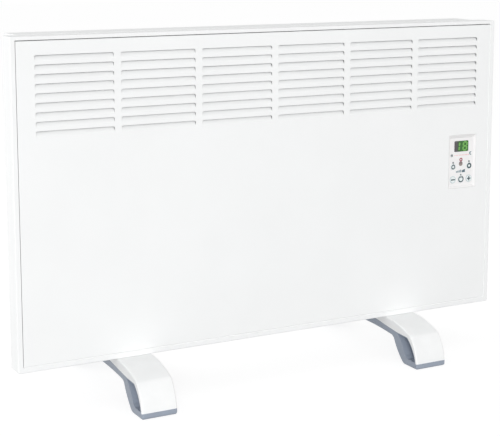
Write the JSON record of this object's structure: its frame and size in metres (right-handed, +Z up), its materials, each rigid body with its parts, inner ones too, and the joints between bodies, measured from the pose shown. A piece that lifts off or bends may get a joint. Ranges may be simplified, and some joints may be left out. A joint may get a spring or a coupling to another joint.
{
  "type": "wall panel convector heater",
  "caption": "Slim white electric panel heater with rows of louvres, a recessed display and push-key control unit, a rear steel casing and screw-on curved plastic feet.",
  "frame": {"origin": "on the floor, at the bottom centre of the box round the whole heater with its feet on", "axes": "+X across the heater to the right as seen from the room, +Y from the front panel to the back, +Z up"},
  "size_m": [0.785, 0.293, 0.5125],
  "materials": {
    "white_coat": "satin white powder coat on sheet steel",
    "white_plastic": "fine satin moulded",
    "grey_plastic": "satin moulded",
    "key_plastic": "satin moulded",
    "plunger_plastic": "moulded",
    "display_tint": "smoked clear",
    "display_digits": "lit segments behind a dark window",
    "circuit_board": "solder mask",
    "black_plastic": "moulded",
    "cream_plastic": "moulded",
    "ribbon": "flexible",
    "zinc_steel": "zinc plated",
    "sheath_steel": "heat tinted stainless",
    "fin_aluminium": "mill finish extrusion",
    "bush_ceramic": "unglazed ceramic",
    "wire_brown": "silicone insulation",
    "wire_blue": "silicone insulation"
  },
  "bodies": {
    "heater": {"surround_top": "white_coat", "surround_bottom": "white_coat", "surround_left": "white_coat", "surround_right": "white_coat", "front_panel": "white_coat", "casing_side_left": "white_coat", "casing_side_right": "white_coat", "casing_top": "white_coat", "inlet_grille": "white_coat", "back_panel": "white_coat", "foot_cover_left": "white_plastic", "foot_cover_right": "white_plastic", "control_housing": "white_plastic", "key_plate": "white_plastic", "foot_body_left": "grey_plastic", "foot_body_right": "grey_plastic", "display_window": "display_tint", "display_module": "display_digits", "control_board": "circuit_board", "power_board": "circuit_board", "relay": "black_plastic", "capacitor": "black_plastic", "key_switches": "black_plastic", "housing_cover": "black_plastic", "cord_gland": "black_plastic", "gland_nut": "black_plastic", "board_connector": "black_plastic", "terminal_block": "cream_plastic", "sensor_clip": "cream_plastic", "ribbon_cable": "ribbon", "corner_angles": "zinc_steel", "panel_clips": "zinc_steel", "casing_screws": "zinc_steel", "flange_screws": "zinc_steel", "foot_screws": "zinc_steel", "wall_inserts": "zinc_steel", "element_brackets": "zinc_steel", "heat_shield": "zinc_steel", "compartment_wall": "zinc_steel", "board_posts": "zinc_steel", "room_sensor": "zinc_steel", "thermal_cutout": "zinc_steel", "element_rod": "sheath_steel", "element_fins": "fin_aluminium", "element_bushes": "bush_ceramic", "wire_supply": "wire_brown", "wire_heater_live": "wire_brown", "wire_element_live": "wire_brown", "wire_element_neutral": "wire_blue"},
    "key_left": {"key_left": "key_plastic", "plunger_left": "plunger_plastic"},
    "key_right": {"key_right": "key_plastic", "plunger_right": "plunger_plastic"},
    "key_minus": {"key_minus": "key_plastic", "plunger_minus": "plunger_plastic"},
    "key_power": {"key_power": "key_plastic", "plunger_power": "plunger_plastic"},
    "key_plus": {"key_plus": "key_plastic", "plunger_plus": "plunger_plastic"}
  },
  "joints": [
    {"name": "press_left", "type": "slide", "parent": "heater", "child": "key_left", "axis": [0, 1, 0], "range_m": [0, 0.0008], "stiffness_N_per_m": 500},
    {"name": "press_right", "type": "slide", "parent": "heater", "child": "key_right", "axis": [0, 1, 0], "range_m": [0, 0.0008], "stiffness_N_per_m": 500},
    {"name": "press_minus", "type": "slide", "parent": "heater", "child": "key_minus", "axis": [0, 1, 0], "range_m": [0, 0.0008], "stiffness_N_per_m": 500},
    {"name": "press_power", "type": "slide", "parent": "heater", "child": "key_power", "axis": [0, 1, 0], "range_m": [0, 0.0008], "stiffness_N_per_m": 500},
    {"name": "press_plus", "type": "slide", "parent": "heater", "child": "key_plus", "axis": [0, 1, 0], "range_m": [0, 0.0008], "stiffness_N_per_m": 500}
  ]
}
